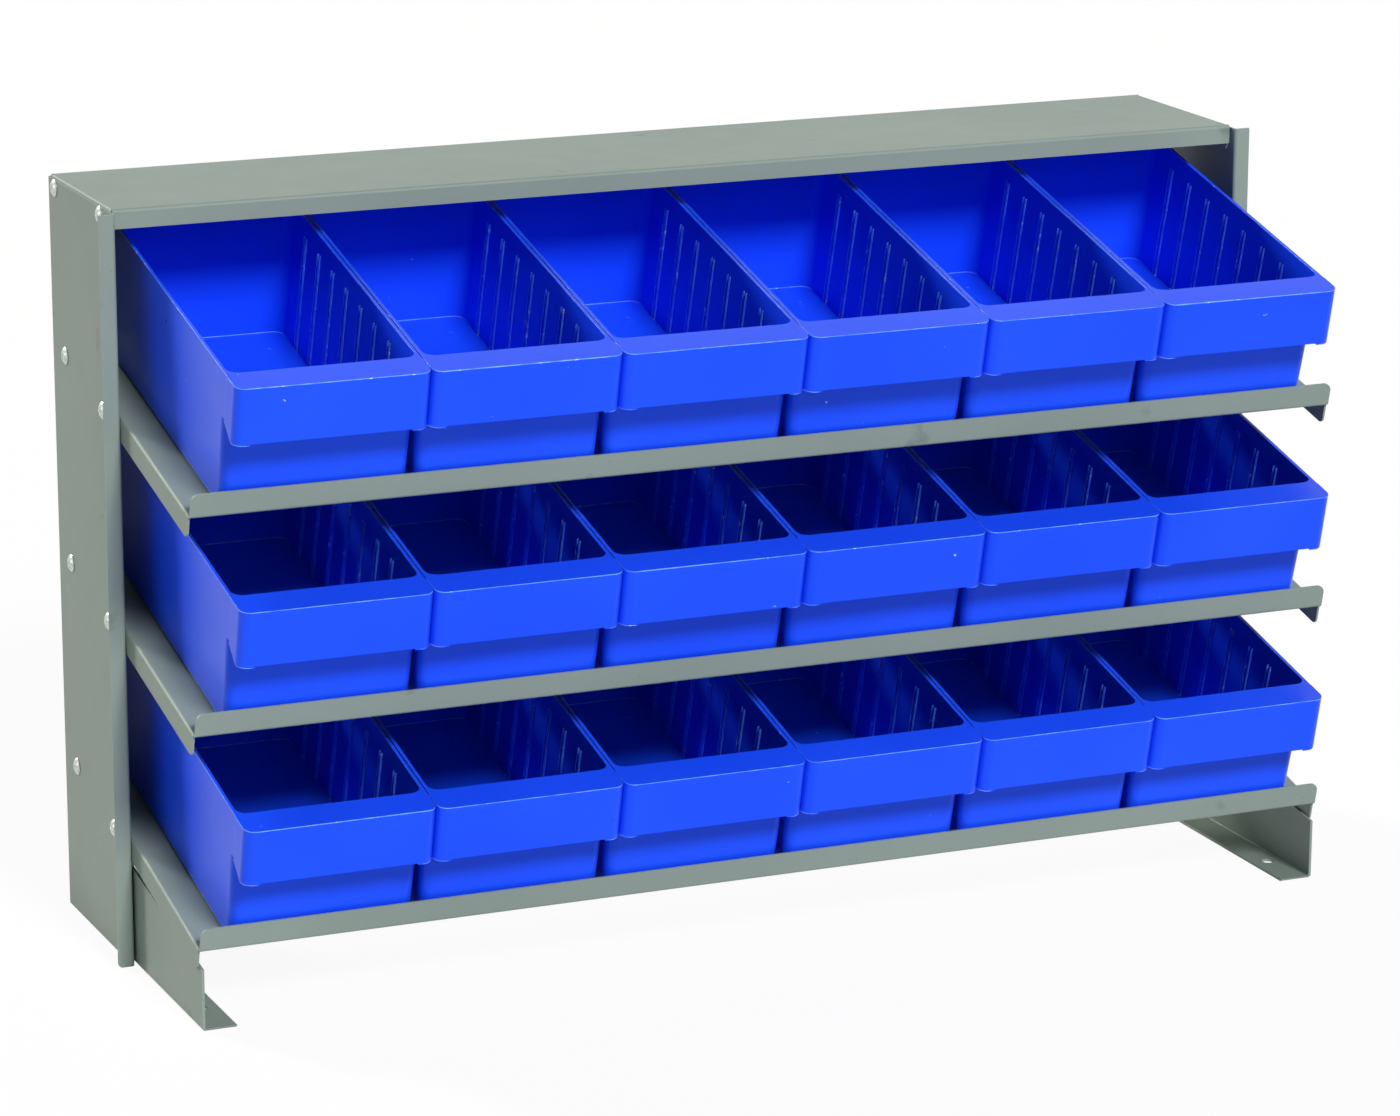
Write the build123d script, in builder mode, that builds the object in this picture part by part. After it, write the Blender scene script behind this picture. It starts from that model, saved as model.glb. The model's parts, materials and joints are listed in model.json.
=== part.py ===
from build123d import *
from math import cos, radians, sin, tan
import os

# Sloping-shelf bin rack with six hopper-front bins on each shelf.
# +X is the viewer's right, the open front faces -Y and +Z is up.
# The origin is on the floor, in the middle of the rack's footprint.

# Cabinet
rack_width = 914.4  # over the outward front flanges
panel_height = 554.0
panel_depth = 161.0
panel_sheet = 1.5
front_flange = 11.0
rear_flange = 20.0
flange_corner = 3.5
fold_radius = 1.0  # inside every fold
notch_space = 0.5  # past the folds, at the notched corners
fold_end_gap = 0.5  # between the front and rear folds' ends and the side panels

# Top cover
cover_sheet = 1.5
cover_rise = 2.0  # above the side panels
cover_setback = 7.7  # behind the side panels' front plane
cover_lip = 14.2
cover_rear_flange = 20.0
cover_rear_gap = 0.3  # in front of the side panels' rear flanges
cover_end_flange = 20.0
cover_screw_drop = 8.0

# Shelves
shelf_slope = 13.4
shelf_sheet = 1.5
shelf_reach = 153.8  # how far the lip stands in front of the side panels
lowest_lip = 58.6  # underside of the bottom shelf's lip above the floor
top_shelf_drop = 183.9  # from the top of the panels to the underside of the top shelf's lip
shelf_lip = 18.6
lip_corner = 6.0
shelf_side_flange = 17.5
side_flange_corner = 4.5
shelf_rear_flange = 15.0
shelf_rear_space = 9.0  # between the shelf's rear fold and the side panels' rear plane
shelf_screw_drop = 11.35  # below the shelf's top face
row_names = ["bottom", "middle", "top"]

# Feet
foot_sheet = 2.0
foot_flange = 25.4
foot_front_height = 45.7
foot_top_slope = 9.7
foot_top_corner = 12.0
foot_toe_corner = 3.0
foot_setback = 0.3  # behind the shelf's lip
foot_rear_gap = 3.0  # in front of the shelf's rear fold
foot_step_space = 8.0  # from the side panels' front plane to the foot's tall part
foot_shelf_gap = 3.0
foot_hole_radius = 4.75
foot_hole_inset = 15.6  # from the outside of the side panel
foot_hole_front = 44.5  # from the foot's front end
foot_hole_rear = 45.0  # from the foot's rear end

# Screws and nuts
screw_radius = 3.0
screw_clearance = 0.3
screw_head_radius = 6.5
screw_head_height = 2.8
screw_tail = 1.5  # past the nut
cover_screw_inset = 17.0  # from the side panel's rear plane
cover_screw_front = 33.0  # from the side panel's front plane
shelf_screw_inset = 33.0
shelf_screw_front = 38.0
nut_flats = 10.0
nut_height = 5.0
nut_clearance = 0.05

# Bins
bins_per_shelf = 6
bin_gap = 0.5
shelf_end_space = 21.1  # between the end bins' hoods and the side panels
bin_length = 295.0
bin_height = 104.8
bin_wall = 2.2
bin_floor = 2.5
bin_draft = 1.45
bin_lift = 0.25  # clearance under the bin
rim_inset = 0.3  # the tub is this much narrower than the hood, each side
tub_corner = 8.0
opening_corner = 8.0
bin_foot_chamfer = 2.5
lip_gap = 0.3  # between the lip and the tub's front wall, at its top
hood_reach = 22.0  # in front of the shelf's lip
hood_height = 42.0
hood_corner = 8.0
hood_seam = 22.5  # from the hood's front face to the tub's square shoulders
cheek_height = 34.0  # where the hood's cheeks meet the tub
nib_width = 12.0
nib_drop = 1.3
slots_per_side = 7  # for dividers, each between two ribs
slot_pitch = 29.85
slot_rear_space = 36.85  # from the rear rim to the rearmost slot
slot_width = 2.4
rib_width = 1.8  # at its root
rib_depth = 1.5
rib_drop = 13.5  # from the rim to the ribs' tops
rib_root = 0.5  # sunk into the wall and the floor

# Derived places
half_width = rack_width / 2
web_outside = half_width - front_flange
web_inside = web_outside - panel_sheet
front_reach = hood_reach * cos(radians(shelf_slope))
front_reach += (shelf_sheet + bin_lift + bin_height) * sin(radians(shelf_slope))
front_plane = (shelf_reach + front_reach - panel_depth) / 2
rear_plane = front_plane + panel_depth
lip_place = front_plane - shelf_reach
shelf_pitch = (panel_height - top_shelf_drop - lowest_lip) / 2
rear_fold_place = rear_plane - shelf_rear_space
shelf_length = (rear_fold_place - lip_place) / cos(radians(shelf_slope))
bin_width = (2 * (web_inside - shelf_end_space) + bin_gap) / bins_per_shelf - bin_gap
rear_lines = [rear_plane - shelf_screw_inset, front_plane + shelf_screw_front]
cover_lines = [rear_plane - cover_screw_inset, front_plane + cover_screw_front]
cover_top = panel_height + cover_rise
cover_screw_places = [(y, cover_top - cover_screw_drop) for y in cover_lines]
screw_hole_radius = screw_radius + screw_clearance
tub_front = hood_reach + shelf_sheet + lip_gap
shoulder_length = tub_front + 2 * tub_corner - hood_seam
rows = range(len(row_names))
sides = {"left": -1, "right": 1}


def shelf_plane(row):
    """The shelf's own plane: x along the lip, y up the slope to the rear, z out of the shelf."""
    lip_height = lowest_lip + row * shelf_pitch
    slope = radians(shelf_slope)
    return Plane(origin=(0, lip_place, lip_height), x_dir=(1, 0, 0), z_dir=(0, -sin(slope), cos(slope)))


def side_view(base):
    """A section across the middle of a plane, with its own x to the rear and its own y upward."""
    return Plane(origin=base.origin, x_dir=base.y_dir, z_dir=base.x_dir)


def front_view(base, y=0.0):
    """A section seen from the front, with its own y upward. It faces the viewer."""
    return Plane(origin=base.from_local_coords((0, y, 0)), x_dir=base.x_dir, z_dir=-base.y_dir)


def height_at(row, y):
    """The height of the underside of a shelf at a distance to the rear."""
    return lowest_lip + row * shelf_pitch + (y - lip_place) * tan(radians(shelf_slope))


def shelf_screw_places(row):
    """Where a shelf's screws pass, as pairs of y and z."""
    drop = (shelf_screw_drop - shelf_sheet) / cos(radians(shelf_slope))
    return [(y, height_at(row, y) - drop) for y in rear_lines]


def folded(plane, points, sheet):
    """The outline of a folded sheet, from the middle line of its thickness."""
    with BuildSketch(plane, mode=Mode.PRIVATE) as outline:
        with BuildLine():
            FilletPolyline(*points, radius=fold_radius + sheet / 2)
        trace(line_width=sheet)
    return outline.sketch


def round_places(plane, places, radius):
    """Circles at the given places on a plane."""
    with BuildSketch(plane, mode=Mode.PRIVATE) as pattern:
        with Locations(*places):
            Circle(radius)
    return pattern.sketch


def folded_tray(base, sheet, length, front_end, rear_end, side_end):
    """A sheet that lies in the base plane, with all four edges folded and its corners notched.

    The three ends are the heights of the folds' free edges over the middle of the sheet.
    """
    middle = sheet / 2
    notch = fold_radius + sheet + notch_space
    flange = web_inside - middle
    fold_half_width = web_inside - fold_end_gap
    upward = Axis(base.origin, base.z_dir)
    front_points = [(middle, front_end), (middle, 0), (notch, 0)]
    rear_points = [(length - notch, 0), (length - middle, 0), (length - middle, rear_end)]
    across_points = [(-flange, side_end), (-flange, 0), (flange, 0), (flange, side_end)]
    with BuildPart() as tray:
        extrude(folded(front_view(base, notch), across_points, sheet), amount=2 * notch - length)
        across = tray.edges().filter_by(Axis.X).filter_by(lambda edge: edge.length < 2 * sheet)
        fillet(across.group_by(upward)[0], side_flange_corner)
        extrude(folded(side_view(base), front_points, sheet), amount=fold_half_width, both=True)
        extrude(folded(side_view(base), rear_points, sheet), amount=fold_half_width, both=True)
    return tray.part


def finish(piece, name):
    piece.part.label = name
    export_step(piece.part, f"parts/{name}.step")


def make_side_panel(name, side):
    middle = panel_sheet / 2
    web = side * (web_outside - middle)
    plan = [
        (side * half_width, front_plane + middle),
        (web, front_plane + middle),
        (web, rear_plane - middle),
        (side * (web_outside - rear_flange), rear_plane - middle),
    ]
    places = cover_screw_places + [place for row in rows for place in shelf_screw_places(row)]
    with BuildPart() as panel:
        extrude(folded(Plane.XY, plan, panel_sheet), amount=panel_height)
        low_edges = panel.edges().filter_by(Axis.Y).group_by(Axis.Z)[0]
        fillet(low_edges.sort_by(Axis((0, 0, 0), (side, 0, 0)))[-1], flange_corner)
        extrude(round_places(Plane.YZ, places, screw_hole_radius), amount=side * half_width, mode=Mode.SUBTRACT)
    finish(panel, name)


def make_top_cover():
    middle = cover_sheet / 2
    front_face = front_plane + cover_setback
    length = rear_plane - panel_sheet - cover_rear_gap - front_face
    base = Plane(origin=(0, front_face, cover_top - middle))
    tray = folded_tray(
        base, cover_sheet, length, middle - cover_lip, middle - cover_rear_flange, middle - cover_end_flange
    )
    with BuildPart() as cover:
        add(tray)
        extrude(
            round_places(Plane.YZ, cover_screw_places, screw_hole_radius),
            amount=half_width,
            both=True,
            mode=Mode.SUBTRACT,
        )
    finish(cover, "top_cover")


def make_shelf(row):
    middle = shelf_sheet / 2
    base = shelf_plane(row).offset(middle)
    along = Axis(base.origin, base.y_dir)
    upward = Axis(base.origin, base.z_dir)
    tray = folded_tray(
        base, shelf_sheet, shelf_length, shelf_lip - middle, middle - shelf_rear_flange, middle - shelf_side_flange
    )
    with BuildPart() as shelf:
        add(tray)
        lip_ends = shelf.edges().filter_by(along).filter_by(lambda edge: edge.length < 2 * shelf_sheet)
        fillet(lip_ends.group_by(upward)[-1], lip_corner)
        extrude(
            round_places(Plane.YZ, shelf_screw_places(row), screw_hole_radius),
            amount=half_width,
            both=True,
            mode=Mode.SUBTRACT,
        )
    finish(shelf, f"shelf_{row_names[row]}")


def make_foot(name, side):
    middle = foot_sheet / 2
    outside = web_inside - shelf_sheet
    toe = lip_place + foot_setback
    heel = rear_fold_place - shelf_sheet - foot_rear_gap
    step = front_plane + foot_step_space
    step_height = foot_front_height + (step - toe) * tan(radians(foot_top_slope))
    shelf_gap = foot_shelf_gap / cos(radians(shelf_slope))
    top_step = (step, height_at(0, step) - shelf_gap)
    top_heel = (heel, height_at(0, heel) - shelf_gap)
    section = [
        (side * (outside - middle), top_heel[1]),
        (side * (outside - middle), middle),
        (side * (outside - foot_flange), middle),
    ]
    outline = [(toe, 0), (toe, foot_front_height), (step, step_height), top_step, top_heel, (heel, 0)]
    hole_x = side * (web_outside - foot_hole_inset)
    hole_places = [(hole_x, toe + foot_hole_front), (hole_x, heel - foot_hole_rear)]
    with BuildPart() as foot:
        extrude(folded(Plane.XZ.offset(-toe), section, foot_sheet), amount=toe - heel)
        with BuildSketch(Plane.YZ) as side_outline:
            with BuildLine():
                Polyline(*outline, close=True)
            make_face()
            corners = side_outline.vertices()
            fillet(corners.sort_by_distance((0, toe, 0))[0], foot_toe_corner)
            corners = side_outline.vertices()
            fillet(corners.sort_by_distance((0, toe, foot_front_height))[0], foot_top_corner)
        extrude(amount=half_width, both=True, mode=Mode.INTERSECT)
        extrude(
            round_places(Plane.YZ, shelf_screw_places(0), screw_hole_radius),
            amount=side * half_width,
            mode=Mode.SUBTRACT,
        )
        extrude(round_places(Plane.XY, hole_places, foot_hole_radius), amount=foot_sheet, mode=Mode.SUBTRACT)
    finish(foot, name)


def screw(grip):
    """One screw that points down, with its head's underside at the origin."""
    length = grip + nut_height + screw_tail
    dome_radius = (screw_head_radius**2 + screw_head_height**2) / (2 * screw_head_height)
    with BuildPart() as shape:
        with BuildSketch(Plane.XZ):
            with BuildLine():
                RadiusArc((screw_head_radius, 0), (0, screw_head_height), -dome_radius)
                Polyline((0, screw_head_height), (0, -length), (screw_radius, -length))
                Polyline((screw_radius, -length), (screw_radius, 0), (screw_head_radius, 0))
            make_face()
        revolve(axis=Axis.Z)
    return shape.part


def make_fasteners(name, places, grip):
    one_screw = screw(grip)
    seats = [
        Plane(origin=(side * web_outside, y, z), z_dir=(side, 0, 0)) for side in sides.values() for y, z in places
    ]
    with BuildPart() as screws:
        with Locations(*seats):
            add(one_screw)
    finish(screws, f"{name}_screws")
    with BuildPart() as nuts:
        for side in sides.values():
            with BuildSketch(Plane.YZ.offset(side * (web_outside - grip))):
                with Locations(*places):
                    RegularPolygon(nut_flats / 2, 6, major_radius=False)
                    Circle(screw_radius + nut_clearance, mode=Mode.SUBTRACT)
            extrude(amount=-side * nut_height)
    finish(nuts, f"{name}_nuts")


def uprights(block):
    """The edges between a block's walls, which end at its flat top."""
    return block.edges().group_by(Axis.Z)[-2]


def tub_block(bottom, inset):
    """The tub's outline at the rim, less an inset all round, and drafted inward down to a given height."""
    with BuildPart() as block:
        with BuildSketch(Plane.XY.offset(bin_height)):
            with Locations((0, (tub_front + bin_length) / 2)):
                Rectangle(bin_width - 2 * (rim_inset + inset), bin_length - tub_front - 2 * inset)
        extrude(amount=bottom - bin_height)
        draft(block.faces().filter_by(Axis.Z, reverse=True), Plane.XY.offset(bin_height), -bin_draft)
    return block.part


def tub_body():
    """The tub as a full block, round at its four corners and chamfered round its foot."""
    with BuildPart() as body:
        add(tub_block(0, 0))
        chamfer(body.faces().sort_by(Axis.Z)[0].edges(), bin_foot_chamfer)
        fillet(uprights(body), tub_corner)
    return body.part


def tub_opening():
    """The space inside the tub."""
    with BuildPart() as opening:
        add(tub_block(bin_floor, bin_wall))
        fillet(uprights(opening), opening_corner)
    return opening.part


def shoulders():
    """The square corners where the hood's cheeks meet the tub, drafted with its side walls."""
    with BuildPart() as block:
        with BuildSketch(Plane.XY.offset(bin_height)):
            with Locations((0, hood_seam)):
                Rectangle(bin_width - 2 * rim_inset, shoulder_length, align=(Align.CENTER, Align.MIN))
        extrude(amount=-cheek_height)
        draft(block.faces().filter_by(Axis.X), Plane.XY.offset(bin_height), -bin_draft)
    return block.part


def hood_plan(height, half, front, rear, corner):
    """The hood from above, round at its two front corners."""
    with BuildSketch(Plane.XY.offset(height), mode=Mode.PRIVATE) as plan:
        with Locations((0, front)):
            Rectangle(2 * half, rear - front, align=(Align.CENTER, Align.MIN))
        fillet(plan.vertices().group_by(Axis.Y)[0], corner)
    return plan.sketch


def divider_ribs():
    """Pairs of pointed ribs that hold dividers, on the inside of both long walls."""
    lean = radians(bin_draft)
    wall_foot = bin_width / 2 - rim_inset - bin_wall - (bin_height - bin_floor) * tan(lean)
    wall_section = Plane(
        origin=(wall_foot, bin_length - slot_rear_space, bin_floor),
        x_dir=(-cos(lean), 0, sin(lean)),
        z_dir=(sin(lean), 0, cos(lean)),
    )
    rib_height = (bin_height - rib_drop - bin_floor) / cos(lean)
    with BuildPart() as ribs:
        with BuildSketch(wall_section.offset(-rib_root)):
            with Locations(*[(0, place * slot_pitch) for place in range(slots_per_side)]):
                with GridLocations(0, slot_width + rib_width, 1, 2):
                    Polygon((-rib_root, -rib_width / 2), (rib_depth, 0), (-rib_root, rib_width / 2), align=None)
        extrude(amount=rib_root + rib_height)
        mirror(about=Plane.YZ)
    return ribs.part


def bin_shape():
    """A bin that stands on the origin's plane, with the hood's front face over the origin."""
    hood_base = bin_height - hood_height
    nib_base = hood_base - nib_drop
    cheek_base = bin_height - cheek_height
    cheek_inside = bin_width / 2 - rim_inset - bin_wall
    shoulder_end = hood_seam + shoulder_length
    with BuildPart() as shape:
        extrude(hood_plan(nib_base, bin_width / 2, 0, hood_seam, hood_corner), amount=bin_height - nib_base)
        with BuildSketch(side_view(Plane.XY)):
            with BuildLine():
                Polyline((hood_corner, nib_base), (hood_seam, cheek_base), (hood_seam, nib_base), close=True)
            make_face()
        extrude(amount=bin_width, both=True, mode=Mode.SUBTRACT)
        with BuildSketch(Plane.XY.offset(hood_base)):
            Rectangle(bin_width - 2 * nib_width, 2 * bin_wall)
        extrude(amount=-nib_drop, mode=Mode.SUBTRACT)
        add(shoulders())
        extrude(
            hood_plan(nib_base, cheek_inside, bin_wall, shoulder_end, hood_corner - bin_wall),
            amount=bin_height - bin_wall - nib_base,
            mode=Mode.SUBTRACT,
        )
        add(tub_body())
        add(tub_opening(), mode=Mode.SUBTRACT)
        add(divider_ribs())
    return shape.part


def make_bin(name, seat, shape):
    with BuildPart(seat) as placed:
        add(shape)
    finish(placed, name)


os.makedirs("parts", exist_ok=True)

for hand, side in sides.items():
    make_side_panel(f"side_panel_{hand}", side)
    make_foot(f"foot_{hand}", side)

make_top_cover()
make_fasteners("cover", cover_screw_places, panel_sheet + cover_sheet)

one_bin = bin_shape()
for row in rows:
    make_shelf(row)
    grip = panel_sheet + shelf_sheet + (foot_sheet if row == 0 else 0)
    make_fasteners(f"shelf_{row_names[row]}", shelf_screw_places(row), grip)
    for place in range(bins_per_shelf):
        across = (place - (bins_per_shelf - 1) / 2) * (bin_width + bin_gap)
        shelf = shelf_plane(row)
        seat = Plane(
            origin=shelf.from_local_coords((across, -hood_reach, shelf_sheet + bin_lift)),
            x_dir=shelf.x_dir,
            z_dir=shelf.z_dir,
        )
        make_bin(f"bin_{row_names[row]}_{place + 1}", seat, one_bin)
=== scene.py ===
"""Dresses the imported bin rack: painted sheet steel, zinc-plated fasteners and moulded blue bins."""

import json
import math

import bmesh
import bpy
from mathutils import Matrix, Vector


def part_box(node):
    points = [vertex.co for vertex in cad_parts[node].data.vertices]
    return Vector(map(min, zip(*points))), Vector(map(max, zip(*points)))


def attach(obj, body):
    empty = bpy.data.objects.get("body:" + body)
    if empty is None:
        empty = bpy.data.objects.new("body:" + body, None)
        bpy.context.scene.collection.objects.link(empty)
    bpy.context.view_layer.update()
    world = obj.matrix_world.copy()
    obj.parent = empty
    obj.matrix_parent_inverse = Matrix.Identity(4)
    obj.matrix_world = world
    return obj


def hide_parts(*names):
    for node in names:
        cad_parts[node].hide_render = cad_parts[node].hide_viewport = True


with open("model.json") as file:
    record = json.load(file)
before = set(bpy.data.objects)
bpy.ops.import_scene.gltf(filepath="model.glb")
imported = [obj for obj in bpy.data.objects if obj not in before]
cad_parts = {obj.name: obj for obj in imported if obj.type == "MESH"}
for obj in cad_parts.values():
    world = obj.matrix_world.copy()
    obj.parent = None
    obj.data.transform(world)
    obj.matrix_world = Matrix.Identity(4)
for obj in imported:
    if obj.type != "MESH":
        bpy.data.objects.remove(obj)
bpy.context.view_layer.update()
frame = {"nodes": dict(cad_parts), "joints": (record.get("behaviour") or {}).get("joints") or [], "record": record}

# Camera in the rack's own frame: metres, degrees, and millimetres for the lens and its sensor
CAMERA_PLACE = Vector((-1.49027, -3.44397, 1.2513))
CAMERA_YAW = 23.29
CAMERA_PITCH = 14.72
CAMERA_ROLL = 0.12
CAMERA_LENS = 134.52
CAMERA_SENSOR = 36.0
CAMERA_FAR = 50.0

# Rounding of the sheet's cut edges and of the moulded plastic's edges, in metres. A rounded edge is
# shaded by the large faces beside it
STEEL_EDGE = 0.0002
PLASTIC_EDGE = 0.0006
EDGE_ANGLE = math.radians(40)
EDGE_SEGMENTS = 2
# The rounded edges take the second material slot, a lighter finish that paints a highlight along them
EDGE_SLOT = 1
WELD_REACH = 0.000002
FLAT_ANGLE = math.radians(0.4)
LARGE_FACE_WEIGHT = 100

# Screws, in metres. The head's dome falls off with the radius to the power DOME_POWER
SCREW_HEAD_RADIUS = 0.0065
SCREW_HEAD_HEIGHT = 0.0028
SCREW_HEAD_RIM = 0.0005
SCREW_RADIUS = 0.003
DOME_POWER = 2.6
HEAD_RING_RADII = [
    0.00015, 0.0004, 0.0007, 0.0010, 0.0013, 0.0016, 0.0019, 0.0022, 0.0025, 0.0028,
    0.0034, 0.0043, 0.0052, 0.0059, 0.0063, SCREW_HEAD_RADIUS,
]
THREAD_DEPTH = 0.00035
THREAD_PITCH = 0.001
THREAD_LENGTH = 0.002
THREAD_RINGS = 15

# The cross-shaped recess in each screw's head, in metres. Its arms narrow by RECESS_TAPER towards
# their ends, its floor rises with the reach to the power RECESS_FLOOR_POWER, and each head is
# turned RECESS_TURN degrees further than the one before
RECESS_REACH = 0.0027
RECESS_ARM = 0.0008
RECESS_TAPER = 0.5
RECESS_DEPTH = 0.0015
RECESS_FLOOR_POWER = 3
RECESS_SLOPE = 0.0004
RECESS_TURN = 37

# Nuts, in metres. NUT_FACE is the radius of the flat ring on top
NUT_FLATS = 0.010
NUT_HEIGHT = 0.005
NUT_HOLE = 0.00305
NUT_HOLE_CHAMFER = 0.0004
NUT_FACE = 0.00475
NUT_CHAMFER = math.radians(30)

# Facets round a circle, and the angle from which an edge of a new piece is sharp
ROUND_STEPS = 36
NUT_STEPS = 48
SMOOTH_ANGLE = math.radians(35)

# Vertices nearer than this, or alike to this many decimals of a metre, are in the same place
SAME_PLACE = 1e-5
PLACE_DECIMALS = 5

# The marks that moulding leaves on each bin's floor, in metres: rings of radius and height from
# the outside in, and each mark's place beside and in front of the bin's pivot
SHELF_SLOPE = math.radians(13.4)
EJECTOR_PROFILE = [(0.0038, -0.0002), (0.0037, 0.0003), (0.0031, 0.0003), (0.0029, 0.00005)]
GATE_PROFILE = EJECTOR_PROFILE + [(0.0010, 0.00005), (0.0007, 0.0004)]
FLOOR_MARKS = [
    (GATE_PROFILE, 0, 0.131),
    (EJECTOR_PROFILE, 0.046, 0.0295),
    (EJECTOR_PROFILE, -0.046, 0.0295),
]

# Linear colours of the enamel
STEEL_GREY = (0.182, 0.230, 0.208, 1.0)
STEEL_GREY_LIGHT = (0.205, 0.256, 0.230, 1.0)
STEEL_SMUDGE = (0.152, 0.190, 0.172, 1.0)
# The next colour, with the light grey above it, colours the steel's rounded edges lighter: partly wear, partly a
# painted highlight
STEEL_EDGE_WEAR_AND_HIGHLIGHT = (0.270, 0.315, 0.290, 1.0)
STEEL_NICK = (0.400, 0.440, 0.410, 1.0)

# Linear colours of the plastic
BIN_BLUE = (0.006, 0.058, 0.81, 1.0)
BIN_BLUE_LIGHT = (0.010, 0.072, 0.89, 1.0)
BIN_SCUFF = (0.330, 0.460, 0.98, 1.0)
# The next two colour the bins' rounded edges, rims and rib tips lighter than the body, as a painted highlight
BIN_EDGE_HIGHLIGHT_MID = (0.040, 0.160, 0.96, 1.0)
BIN_EDGE_HIGHLIGHT = (0.170, 0.390, 1.0, 1.0)
BIN_NICK = (0.600, 0.760, 1.0, 1.0)
BIN_GLOSS = (0.60, 0.90, 1.0, 1.0)

# Linear colours of the zinc, the floor and the light
ZINC = (0.60, 0.63, 0.60, 1.0)
ZINC_DULL = (0.42, 0.46, 0.42, 1.0)
FLOOR_PALE = (0.82, 0.82, 0.82, 1.0)
WHITE = (1.0, 1.0, 1.0, 1.0)
PLAIN_TINT = (1.0, 1.0, 1.0)
LEFT_TINT = (1.0, 0.985, 0.88)

# Gloss of the finishes, and roughness where it is the same all over
STEEL_SPECULAR = 0.38
STEEL_EDGE_ROUGHNESS = 0.4
PLASTIC_SPECULAR = 0.22
PLASTIC_EDGE_ROUGHNESS = 0.35
FLOOR_ROUGHNESS = 0.9

# The part of a noise over which one colour turns into the other, and over which a spot fades in
TONE_START = 0.3
TONE_END = 0.7
SPOT_FADE = 0.05

# Surroundings: the floor's half width in metres, the share of plain white with which it is seen,
# and the strengths of the world's light and of the white seen behind
FLOOR_REACH = 12.0
FLOOR_GLOW = 0.93
WORLD_GLOW = 0.02
BACKDROP_WHITE = 1.0

# Lamps: azimuth and elevation in degrees, strength, spread in degrees and tint. Azimuth 0 is the
# rack's front and grows to the viewer's left
LAMPS = {
    "key": (-4, 36, 3.4, 14, PLAIN_TINT),
    "low_front": (-4, 18, 0.2, 16, PLAIN_TINT),
    "left_rear": (150, 27, 2.65, 10, LEFT_TINT),
    "left_fill": (108, 6, 0.15, 20, LEFT_TINT),
    "right_fill": (-110, 12, 0.7, 24, PLAIN_TINT),
}


def new_material(name):
    """A material with its nodes, its shader's inputs and a helper that links two sockets."""
    material = bpy.data.materials.new(name)
    material.use_nodes = True
    tree = material.node_tree
    return material, tree.nodes, tree.nodes["Principled BSDF"].inputs, tree.links.new


def noise(nodes, link, scale, detail=2):
    """A noise texture over the rack's own metres."""
    place = nodes.new("ShaderNodeTexCoord")
    texture = nodes.new("ShaderNodeTexNoise")
    texture.inputs["Scale"].default_value = scale
    texture.inputs["Detail"].default_value = detail
    link(place.outputs["Object"], texture.inputs["Vector"])
    return texture.outputs["Fac"]


def mixed_colour(nodes, link, factor, first, second):
    """A colour between two, by a factor from 0 to 1."""
    ramp = nodes.new("ShaderNodeValToRGB")
    start, end = ramp.color_ramp.elements
    start.position, start.color = TONE_START, first
    end.position, end.color = TONE_END, second
    link(factor, ramp.inputs["Fac"])
    return ramp.outputs["Color"]


def between(nodes, link, factor, low, high):
    """A number between two, by a factor from 0 to 1."""
    spread = nodes.new("ShaderNodeMapRange")
    spread.inputs["To Min"].default_value = low
    spread.inputs["To Max"].default_value = high
    link(factor, spread.inputs["Value"])
    return spread.outputs["Result"]


def bump(nodes, link, height, strength, distance, under=None):
    """A bump, which may lie on top of another."""
    made = nodes.new("ShaderNodeBump")
    made.inputs["Strength"].default_value = strength
    made.inputs["Distance"].default_value = distance
    link(height, made.inputs["Height"])
    if under is not None:
        link(under, made.inputs["Normal"])
    return made.outputs["Normal"]


def spots(nodes, link, scale, start, detail=2):
    """A factor that is 1 in small patches, the fewer the higher the start, and 0 elsewhere."""
    patches = nodes.new("ShaderNodeMapRange")
    patches.inputs["From Min"].default_value = start
    patches.inputs["From Max"].default_value = start + SPOT_FADE
    link(noise(nodes, link, scale, detail), patches.inputs["Value"])
    return patches.outputs["Result"]


def over(nodes, link, factor, below, above):
    """A fixed colour laid over another where the factor says."""
    mix = nodes.new("ShaderNodeMix")
    mix.data_type = "RGBA"
    link(factor, mix.inputs["Factor"])
    link(below, mix.inputs["A"])
    mix.inputs["B"].default_value = above
    return mix.outputs["Result"]


def painted_steel():
    """Semi-gloss grey enamel with a fine orange peel, faint waves and a few handling marks."""
    material, nodes, shader, link = new_material("painted_steel")
    tone = noise(nodes, link, scale=5, detail=4)
    colour = mixed_colour(nodes, link, tone, STEEL_GREY, STEEL_GREY_LIGHT)
    smudges = spots(nodes, link, scale=26, start=0.69, detail=6)
    colour = over(nodes, link, smudges, colour, STEEL_SMUDGE)
    specks = spots(nodes, link, scale=260, start=0.73)
    link(over(nodes, link, specks, colour, STEEL_SMUDGE), shader["Base Color"])
    wear = noise(nodes, link, scale=35, detail=4)
    link(between(nodes, link, wear, low=0.48, high=0.62), shader["Roughness"])
    fine, wide = noise(nodes, link, scale=620, detail=1), noise(nodes, link, scale=6, detail=1)
    peel = bump(nodes, link, fine, strength=0.10, distance=0.0004)
    waves = bump(nodes, link, wide, strength=0.12, distance=0.004, under=peel)
    link(waves, shader["Normal"])
    shader["Specular IOR Level"].default_value = STEEL_SPECULAR
    return material


def highlight_and_wear_edge(name, first, second, nick, scale, roughness):
    """The thin rounded edge of a finish, painted lighter as a highlight and as wear, more so in places, and nicked
    in a few.
    """
    material, nodes, shader, link = new_material(name)
    colour = mixed_colour(nodes, link, noise(nodes, link, scale, detail=3), first, second)
    nicks = spots(nodes, link, scale=160, start=0.66)
    link(over(nodes, link, nicks, colour, nick), shader["Base Color"])
    shader["Roughness"].default_value = roughness
    return material


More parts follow.
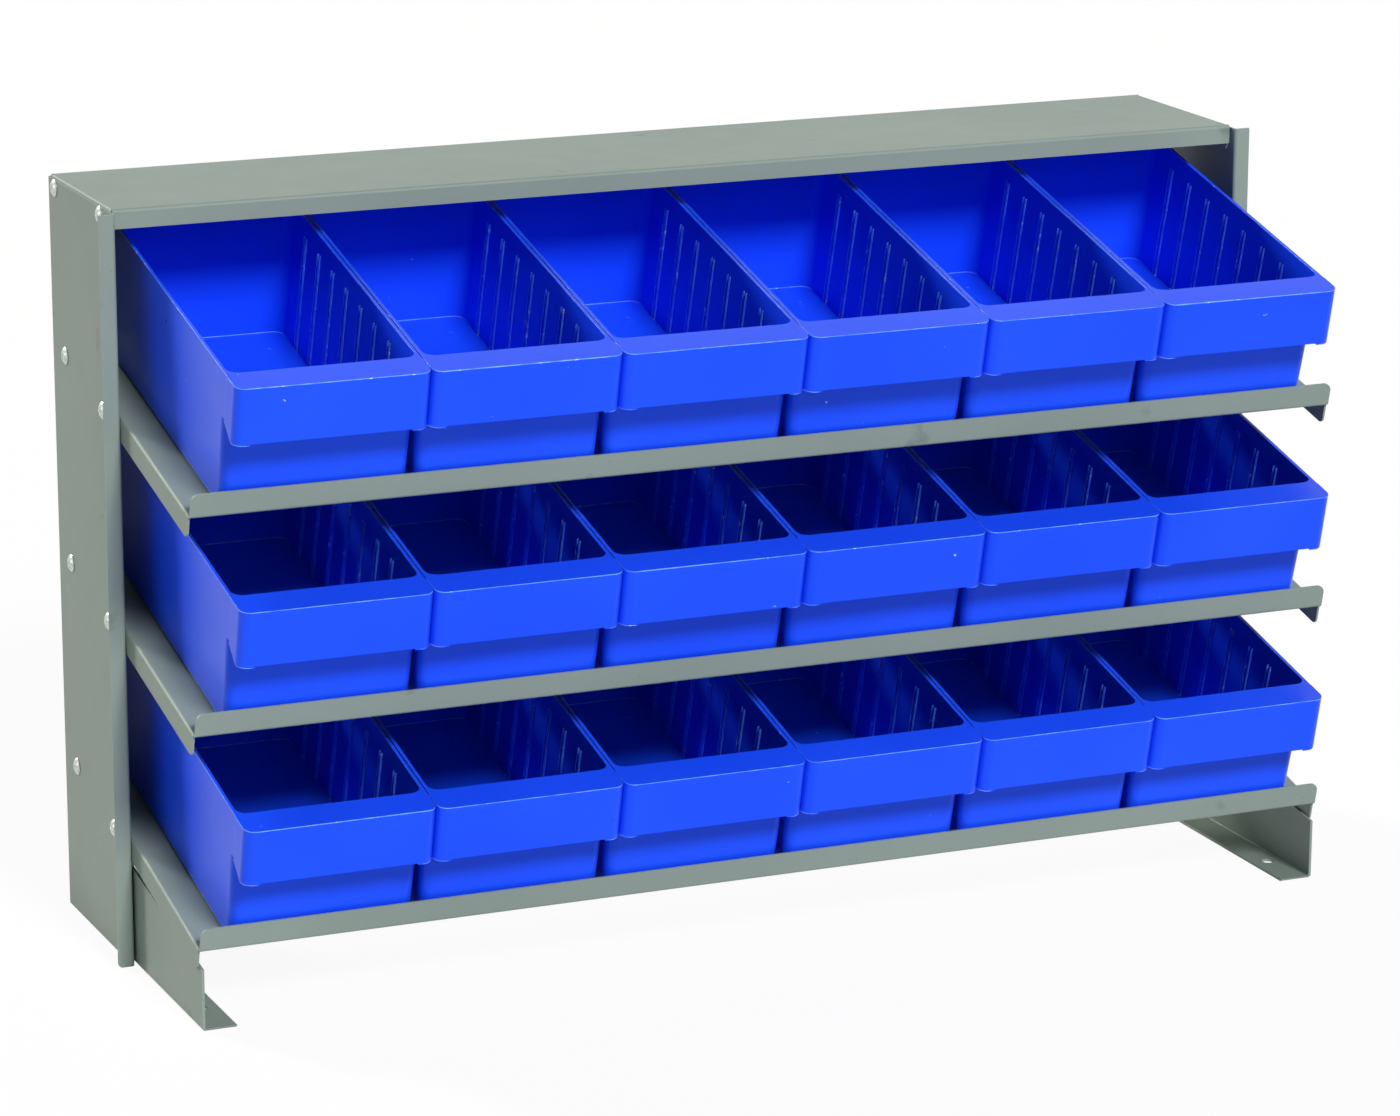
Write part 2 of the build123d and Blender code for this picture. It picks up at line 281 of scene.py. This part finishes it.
def moulded_plastic():
    """Glossy blue polypropylene with a faint mould texture, flow waves and small scuffs."""
    material, nodes, shader, link = new_material("blue_plastic")
    colour = mixed_colour(nodes, link, noise(nodes, link, scale=5), BIN_BLUE, BIN_BLUE_LIGHT)
    scuffs = spots(nodes, link, scale=150, start=0.77)
    link(over(nodes, link, scuffs, colour, BIN_SCUFF), shader["Base Color"])
    wear = noise(nodes, link, scale=24, detail=5)
    link(between(nodes, link, wear, low=0.24, high=0.36), shader["Roughness"])
    wide, fine = noise(nodes, link, scale=28, detail=1), noise(nodes, link, scale=1500, detail=1)
    flow = bump(nodes, link, wide, strength=0.07, distance=0.0015)
    grain = bump(nodes, link, fine, strength=0.06, distance=0.0002, under=flow)
    link(grain, shader["Normal"])
    shader["Specular IOR Level"].default_value = PLASTIC_SPECULAR
    shader["Specular Tint"].default_value = BIN_GLOSS
    return material


def zinc_plate():
    """Bright zinc on steel, a little scratched."""
    material, nodes, shader, link = new_material("zinc_plated_steel")
    tone = noise(nodes, link, scale=500, detail=3)
    link(mixed_colour(nodes, link, tone, ZINC_DULL, ZINC), shader["Base Color"])
    shader["Metallic"].default_value = 1.0
    wear = noise(nodes, link, scale=900, detail=3)
    link(between(nodes, link, wear, low=0.16, high=0.34), shader["Roughness"])
    fine = noise(nodes, link, scale=1400)
    link(bump(nodes, link, fine, strength=0.15, distance=0.0001), shader["Normal"])
    return material


def rounded(node, edge):
    """Joins the facets' shared points, merges flat facets and rounds the sharp edges."""
    weld = node.modifiers.new("joined", "WELD")
    weld.merge_threshold = WELD_REACH
    flat = node.modifiers.new("flat", "DECIMATE")
    flat.decimate_type = "DISSOLVE"
    flat.angle_limit = FLAT_ANGLE
    edges = node.modifiers.new("edges", "BEVEL")
    edges.width = edge
    edges.segments = EDGE_SEGMENTS
    edges.limit_method = "ANGLE"
    edges.angle_limit = EDGE_ANGLE
    edges.offset_type = "ABSOLUTE"
    edges.use_clamp_overlap = False
    edges.vmesh_method = "CUTOFF"
    edges.material = EDGE_SLOT
    normals = node.modifiers.new("normals", "WEIGHTED_NORMAL")
    normals.weight = LARGE_FACE_WEIGHT


def skinned(shape, rings, place, closed=False):
    """Adds the skin over rings of points, each point put in place.

    A closed skin joins its last ring to its first; any other ends in a flat face at both ends.
    """
    rows = [[shape.verts.new(place @ Vector(point)) for point in ring] for ring in rings]
    pairs = list(zip(rows, rows[1:])) + ([(rows[-1], rows[0])] if closed else [])
    for low, high in pairs:
        for i in range(len(low)):
            j = (i + 1) % len(low)
            shape.faces.new((low[i], low[j], high[j], high[i]))
    if not closed:
        shape.faces.new(rows[0])
        shape.faces.new(rows[-1])


def ring_points(steps, radius_at, height_at):
    """A ring of points round the local z axis; radius and height may change with the angle."""
    angles = [math.tau * i / steps for i in range(steps)]
    return [(radius_at(a) * math.cos(a), radius_at(a) * math.sin(a), height_at(a)) for a in angles]


def plain_ring(steps, radius, height):
    """A level, round ring."""
    return ring_points(steps, lambda angle: radius, lambda angle: height)


def recess(x, y):
    """The depth of the cross-shaped driver recess at a point of the screw's head.

    Its walls slope, and half way down they stand on the edges of the arms.
    """
    reach = math.hypot(x, y) / RECESS_REACH
    if reach >= 1:
        return 0.0
    from_arm = RECESS_ARM * (1 - RECESS_TAPER * reach) - min(abs(x), abs(y))
    wall = min(max(from_arm / RECESS_SLOPE + 0.5, 0), 1)
    return RECESS_DEPTH * (1 - reach ** RECESS_FLOOR_POWER) * wall


def head_ring(radius):
    """A ring of the screw's dome, let down where the recess is."""
    dome = SCREW_HEAD_HEIGHT - SCREW_HEAD_RIM
    top = SCREW_HEAD_RIM + dome * (1 - (radius / SCREW_HEAD_RADIUS) ** DOME_POWER)

    def height(angle):
        return top - recess(radius * math.cos(angle), radius * math.sin(angle))

    return ring_points(ROUND_STEPS, lambda angle: radius, height)


def thread_ring(height):
    """A ring of a screw thread: a sharp ridge that climbs one pitch in each turn."""

    def radius(angle):
        phase = (height / THREAD_PITCH + angle / math.tau) % 1
        return SCREW_RADIUS - THREAD_DEPTH * abs(2 * phase - 1)

    return ring_points(ROUND_STEPS, radius, lambda angle: height)


def screw_rings(length):
    """A pan-head screw from its head's middle to its tip, with the head's underside at height 0."""
    thread_start, thread_end = THREAD_LENGTH - length, THREAD_DEPTH - length
    rings = [head_ring(radius) for radius in HEAD_RING_RADII]
    rings.append(plain_ring(ROUND_STEPS, SCREW_HEAD_RADIUS, 0))
    rings.append(plain_ring(ROUND_STEPS, SCREW_RADIUS, 0))
    rings.append(plain_ring(ROUND_STEPS, SCREW_RADIUS, thread_start))
    for i in range(THREAD_RINGS):
        share = i / (THREAD_RINGS - 1)
        rings.append(thread_ring(thread_start + (thread_end - thread_start) * share))
    rings.append(plain_ring(ROUND_STEPS, SCREW_RADIUS - 2 * THREAD_DEPTH, -length))
    return rings


def nut_rings():
    """A hexagon nut that stands on height 0, with the corners of its upper face chamfered."""
    sixth = math.tau / 6

    def hexagon(angle):
        return NUT_FLATS / 2 / math.cos(angle % sixth - sixth / 2)

    def chamfered(angle):
        return NUT_HEIGHT - max(hexagon(angle) - NUT_FACE, 0) * math.tan(NUT_CHAMFER)

    return [
        plain_ring(NUT_STEPS, NUT_HOLE, 0),
        plain_ring(NUT_STEPS, NUT_HOLE, NUT_HEIGHT - NUT_HOLE_CHAMFER),
        plain_ring(NUT_STEPS, NUT_HOLE + NUT_HOLE_CHAMFER, NUT_HEIGHT),
        plain_ring(NUT_STEPS, NUT_FACE, NUT_HEIGHT),
        ring_points(NUT_STEPS, hexagon, chamfered),
        ring_points(NUT_STEPS, hexagon, lambda angle: 0),
    ]


def new_piece(name, shape, material, body):
    """Makes a piece of the object from a bmesh."""
    bmesh.ops.recalc_face_normals(shape, faces=shape.faces)
    mesh = bpy.data.meshes.new(name)
    shape.to_mesh(mesh)
    shape.free()
    mesh.shade_smooth()
    mesh.set_sharp_from_angle(angle=SMOOTH_ANGLE)
    mesh.materials.append(material)
    piece = bpy.data.objects.new(name, mesh)
    bpy.context.scene.collection.objects.link(piece)
    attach(piece, body)
    return piece


def head_tops(node, outermost):
    """The middle of each screw's head, where the CAD's dome reaches furthest out along x."""
    points = [vertex.co for vertex in node.data.vertices]
    ends = [point for point in points if abs(point.x) > outermost - SAME_PLACE]
    return sorted({tuple(round(c, PLACE_DECIMALS) for c in point) for point in ends})


def lying(way, x, y, z):
    """The place of a fastener whose own z axis points along the rack's x, one way or the other."""
    return Matrix(((0, 0, way, x), (1, 0, 0, y), (0, way, 0, z), (0, 0, 0, 1)))


def detail_fasteners(zinc):
    """Replaces the CAD's plain screws and nuts by recessed, threaded screws and chamfered nuts."""
    for screws in [node for node in frame["nodes"] if node.endswith("_screws")]:
        nuts = screws.replace("_screws", "_nuts")
        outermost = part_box(screws)[1].x
        screw_seat, nut_seat = outermost - SCREW_HEAD_HEIGHT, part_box(nuts)[1].x
        innermost = min(abs(vertex.co.x) for vertex in frame["nodes"][screws].data.vertices)
        screws_shape, nuts_shape = bmesh.new(), bmesh.new()
        for count, (x, y, z) in enumerate(head_tops(frame["nodes"][screws], outermost)):
            side = math.copysign(1, x)
            turn = Matrix.Rotation(math.radians(RECESS_TURN * count), 4, "Z")
            outward = lying(side, side * screw_seat, y, z) @ turn
            inward = lying(-side, side * nut_seat, y, z)
            skinned(screws_shape, screw_rings(screw_seat - innermost), outward)
            skinned(nuts_shape, nut_rings(), inward, closed=True)
        for name, shape in ((screws, screws_shape), (nuts, nuts_shape)):
            piece = new_piece(name + "_detailed", shape, zinc, "rack")
            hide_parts(name)


def mark_floors(plastic):
    """A gate mark in the middle of each bin's floor and an ejector mark in both rear corners."""
    back = Vector((0, math.cos(SHELF_SLOPE), math.sin(SHELF_SLOPE)))
    for joint in frame["joints"]:
        shape = bmesh.new()
        for profile, beside, ahead in FLOOR_MARKS:
            middle = Vector(joint["pos_m"]) + Vector((beside, 0, 0)) - ahead * back
            place = Matrix.Translation(middle) @ Matrix.Rotation(SHELF_SLOPE, 4, "X")
            rings = [plain_ring(ROUND_STEPS, radius, height) for radius, height in profile]
            skinned(shape, rings, place)
        name = joint["child"] + "_mould_marks"
        new_piece(name, shape, plastic, joint["child"])


def dress_nodes():
    """Gives every CAD node its finish and its rounded edges, and adds the small details."""
    # The steel's rounded edges get a lighter finish, partly wear and partly a painted highlight
    steel_edge = highlight_and_wear_edge(
        "painted_steel_edge_wear_and_highlight", STEEL_GREY_LIGHT, STEEL_EDGE_WEAR_AND_HIGHLIGHT, STEEL_NICK,
        scale=60, roughness=STEEL_EDGE_ROUGHNESS,
    )
    # The plastic's rounded edges get a lighter finish that paints the highlight of the rims and ribs
    plastic_edge = highlight_and_wear_edge(
        "blue_plastic_edge_highlight", BIN_EDGE_HIGHLIGHT_MID, BIN_EDGE_HIGHLIGHT, BIN_NICK,
        scale=120, roughness=PLASTIC_EDGE_ROUGHNESS,
    )
    zinc, plastic = zinc_plate(), moulded_plastic()
    finishes = {
        "painted_steel": (painted_steel(), steel_edge, STEEL_EDGE),
        "blue_plastic": (plastic, plastic_edge, PLASTIC_EDGE),
    }
    for row in frame["record"]["subparts"]:
        if row["material_slot"] in finishes:
            material, edge_material, edge = finishes[row["material_slot"]]
            node = frame["nodes"][row["node"]]
            node.data.materials.clear()
            node.data.materials.append(material)
            node.data.materials.append(edge_material)
            rounded(node, edge)
    detail_fasteners(zinc)
    mark_floors(plastic)


def seen_directly(nodes, link):
    """1 for rays from the camera, off gloss or through glass, and 0 for those that carry light."""
    rays = nodes.new("ShaderNodeLightPath")
    seen = rays.outputs["Is Camera Ray"]
    for other in ("Is Glossy Ray", "Is Transmission Ray"):
        either = nodes.new("ShaderNodeMath")
        either.operation = "MAXIMUM"
        link(seen, either.inputs[0])
        link(rays.outputs[other], either.inputs[1])
        seen = either.outputs["Value"]
    return seen


def make_lamps():
    """Even light from wide patches of sky."""
    for name, (azimuth, elevation, strength, spread, tint) in LAMPS.items():
        data = bpy.data.lights.new(name, "SUN")
        data.energy = strength
        data.color = tint
        data.angle = math.radians(spread)
        lamp = bpy.data.objects.new(name, data)
        bpy.context.scene.collection.objects.link(lamp)
        side, rise = math.radians(azimuth), math.radians(elevation)
        level = math.cos(rise)
        source = Vector((-math.sin(side) * level, -math.cos(side) * level, math.sin(rise)))
        lamp.rotation_euler = source.to_track_quat("Z", "Y").to_euler()


def new_background(nodes, strength):
    """A white background of a given strength."""
    background = nodes.new("ShaderNodeBackground")
    background.inputs["Color"].default_value = WHITE
    background.inputs["Strength"].default_value = strength
    return background.outputs["Background"]


def make_world():
    """A world that looks white and gives only a little light."""
    world = bpy.data.worlds.new("world")
    bpy.context.scene.world = world
    world.use_nodes = True
    nodes, link = world.node_tree.nodes, world.node_tree.links.new
    nodes.clear()
    output = nodes.new("ShaderNodeOutputWorld")
    mix = nodes.new("ShaderNodeMixShader")
    link(seen_directly(nodes, link), mix.inputs["Fac"])
    link(new_background(nodes, WORLD_GLOW), mix.inputs[1])
    link(new_background(nodes, BACKDROP_WHITE), mix.inputs[2])
    link(mix.outputs["Shader"], output.inputs["Surface"])


def make_floor():
    """A plain white floor that keeps the rack's shadow."""
    mesh = bpy.data.meshes.new("floor")
    corners = [(x, y, 0) for x, y in ((-1, -1), (1, -1), (1, 1), (-1, 1))]
    mesh.from_pydata([[FLOOR_REACH * c for c in corner] for corner in corners], [], [(0, 1, 2, 3)])
    floor = bpy.data.objects.new("floor", mesh)
    bpy.context.scene.collection.objects.link(floor)
    material, nodes, shader, link = new_material("floor")
    shader["Base Color"].default_value = FLOOR_PALE
    shader["Roughness"].default_value = FLOOR_ROUGHNESS
    glow = nodes.new("ShaderNodeEmission")
    share = nodes.new("ShaderNodeMath")
    share.operation = "MULTIPLY"
    share.inputs[1].default_value = FLOOR_GLOW
    mix = nodes.new("ShaderNodeMixShader")
    link(seen_directly(nodes, link), share.inputs[0])
    link(share.outputs["Value"], mix.inputs["Fac"])
    link(nodes["Principled BSDF"].outputs["BSDF"], mix.inputs[1])
    link(glow.outputs["Emission"], mix.inputs[2])
    link(mix.outputs["Shader"], nodes["Material Output"].inputs["Surface"])
    mesh.materials.append(material)


def make_camera():
    """The camera at the photo's place and angle."""
    yaw, pitch, roll = (math.radians(a) for a in (CAMERA_YAW, CAMERA_PITCH, CAMERA_ROLL))
    level = Vector((math.cos(yaw), -math.sin(yaw), 0))
    ahead = Vector(
        (math.sin(yaw) * math.cos(pitch), math.cos(yaw) * math.cos(pitch), -math.sin(pitch))
    )
    above = level.cross(ahead)
    right = level * math.cos(roll) + above * math.sin(roll)
    up = above * math.cos(roll) - level * math.sin(roll)
    data = bpy.data.cameras.new("camera")
    data.sensor_fit = "HORIZONTAL"
    data.sensor_width = CAMERA_SENSOR
    data.lens = CAMERA_LENS
    data.clip_end = CAMERA_FAR
    camera = bpy.data.objects.new("camera", data)
    bpy.context.scene.collection.objects.link(camera)
    turn = Matrix((right, up, -ahead)).transposed()
    camera.matrix_world = Matrix.Translation(CAMERA_PLACE) @ turn.to_4x4()
    bpy.context.scene.camera = camera


dress_nodes()
make_floor()
make_lamps()
make_world()
make_camera()
bpy.context.scene.view_settings.view_transform = "Standard"
